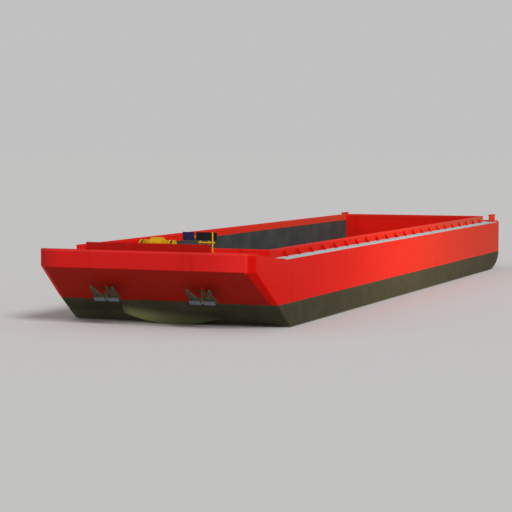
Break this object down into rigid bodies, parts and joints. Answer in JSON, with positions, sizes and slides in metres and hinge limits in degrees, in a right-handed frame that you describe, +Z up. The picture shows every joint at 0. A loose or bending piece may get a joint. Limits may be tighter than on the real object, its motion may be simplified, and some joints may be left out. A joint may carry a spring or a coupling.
{
  "type": "river barge",
  "caption": "Open-hold pushed river barge with a raked bow, coamings along the hold, a windlass with two anchors hung from hawse pipes, sign boards and stern bollards.",
  "frame": {"origin": "centre of the flat bottom's bounding box, at keel level", "axes": "+X to port, +Y from the bow to the stern, +Z up"},
  "size_m": [8.201, 32.5, 3.31],
  "materials": {
    "hull_red": "bright red topside paint, satin, lightly scuffed",
    "bottom_paint": "dark olive bottom paint, matt",
    "deep_red": "dark red deck paint, satin",
    "yellow": "yellow fittings paint, satin",
    "black_board": "black board, blank",
    "navy_board": "navy board, blank",
    "anchor_iron": "weathered cast steel, olive grey",
    "chain_steel": "dark tarred chain",
    "hold_steel": "worn dark hold plating"
  },
  "bodies": {
    "hull": {"hull_bow": "hull_red", "hull_bottom": "bottom_paint", "hull_side_port": "hull_red", "hull_side_starboard": "hull_red", "hull_stern": "hull_red", "forefoot_fairing": "bottom_paint", "coaming_port": "hull_red", "coaming_starboard": "hull_red", "coaming_fore": "hull_red", "coaming_aft": "hull_red", "breakwater": "deep_red", "windlass_bed": "yellow", "windlass_gearcase": "yellow", "hawse_pipe_port": "deep_red", "hawse_pipe_starboard": "deep_red", "anchor_chain_port": "chain_steel", "anchor_chain_starboard": "chain_steel", "anchor_shank_port": "anchor_iron", "anchor_shank_starboard": "anchor_iron", "board_stand": "yellow", "board_black": "black_board", "board_navy": "navy_board", "bollard_port": "hull_red", "bollard_starboard": "hull_red", "stern_rail": "hull_red", "ladder_fore": "hold_steel", "ladder_aft": "hold_steel"},
    "windlass_shaft": {"windlass_shaft": "yellow"},
    "flukes_port": {"anchor_flukes_port": "anchor_iron"},
    "flukes_starboard": {"anchor_flukes_starboard": "anchor_iron"}
  },
  "joints": [
    {"name": "windlass_turn", "type": "hinge", "parent": "hull", "child": "windlass_shaft", "pos_m": [0, -15.05, 2.77], "axis": [1, 0, 0], "continuous": true},
    {"name": "flukes_port_swing", "type": "hinge", "parent": "hull", "child": "flukes_port", "pos_m": [1.77, -15.32, 0.98], "axis": [1, 0, 0], "range_deg": [-18, 0]},
    {"name": "flukes_starboard_swing", "type": "hinge", "parent": "hull", "child": "flukes_starboard", "pos_m": [-1.77, -15.32, 0.98], "axis": [1, 0, 0], "range_deg": [-18, 0]}
  ]
}
